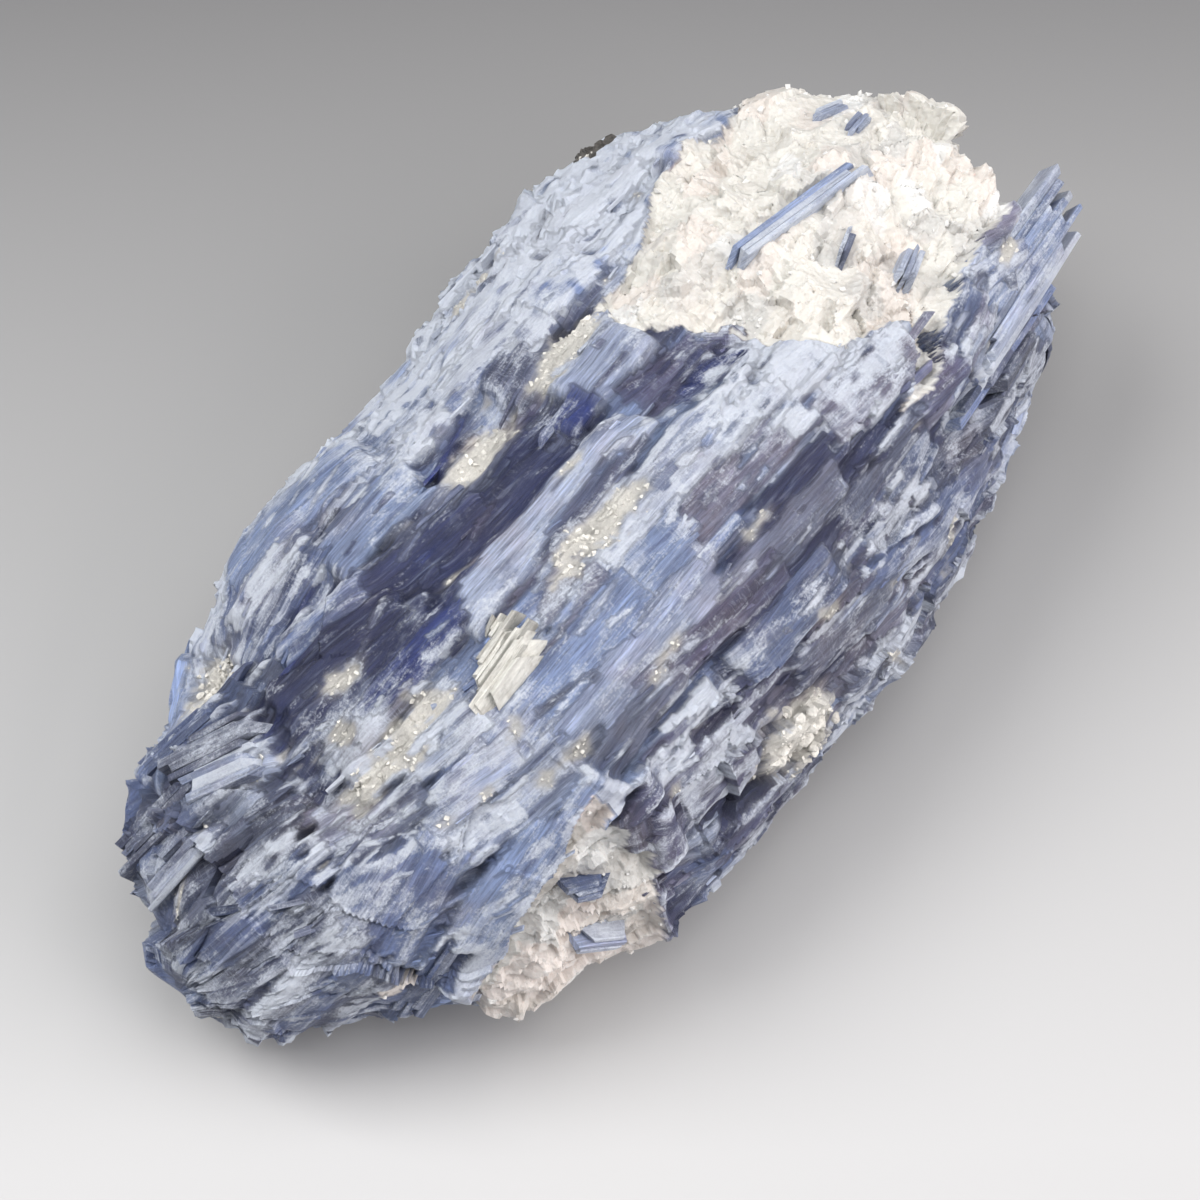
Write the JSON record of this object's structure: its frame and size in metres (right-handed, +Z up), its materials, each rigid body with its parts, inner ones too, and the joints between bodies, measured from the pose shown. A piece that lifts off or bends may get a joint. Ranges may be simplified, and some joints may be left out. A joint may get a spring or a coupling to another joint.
{
  "type": "kyanite blade cluster",
  "caption": "Hand-sized mineral specimen: parallel blue kyanite blades stepped across a long rounded rock, with milky quartz capping one end.",
  "frame": {"origin": "middle of the flat foot that the specimen lies on", "axes": "+X along the blades towards the quartz end, +Z up out of the displayed side, +Y towards the steep flank that carries the pale plates"},
  "size_m": [0.1057, 0.0581, 0.0356],
  "materials": {
    "kyanite": "vitreous to pearly, striated along the blades",
    "quartz": "milky, sugary and faceted",
    "mica": "pearly, in thin layers",
    "black_mineral": "dull black"
  },
  "bodies": {
    "root": {"kyanite_mass": "kyanite", "quartz_cap": "quartz", "quartz_pocket": "quartz", "quartz_nugget": "quartz", "quartz_cavity": "quartz", "quartz_lens_1": "quartz", "quartz_lens_2": "quartz", "quartz_lens_3": "quartz", "cap_blade": "kyanite", "cap_splinter_1": "kyanite", "cap_splinter_2": "kyanite", "cap_splinter_3": "kyanite", "cap_splinter_4": "kyanite", "pocket_blade_1": "kyanite", "pocket_blade_2": "kyanite", "mica_book": "mica", "black_mineral": "black_mineral"}
  },
  "joints": []
}
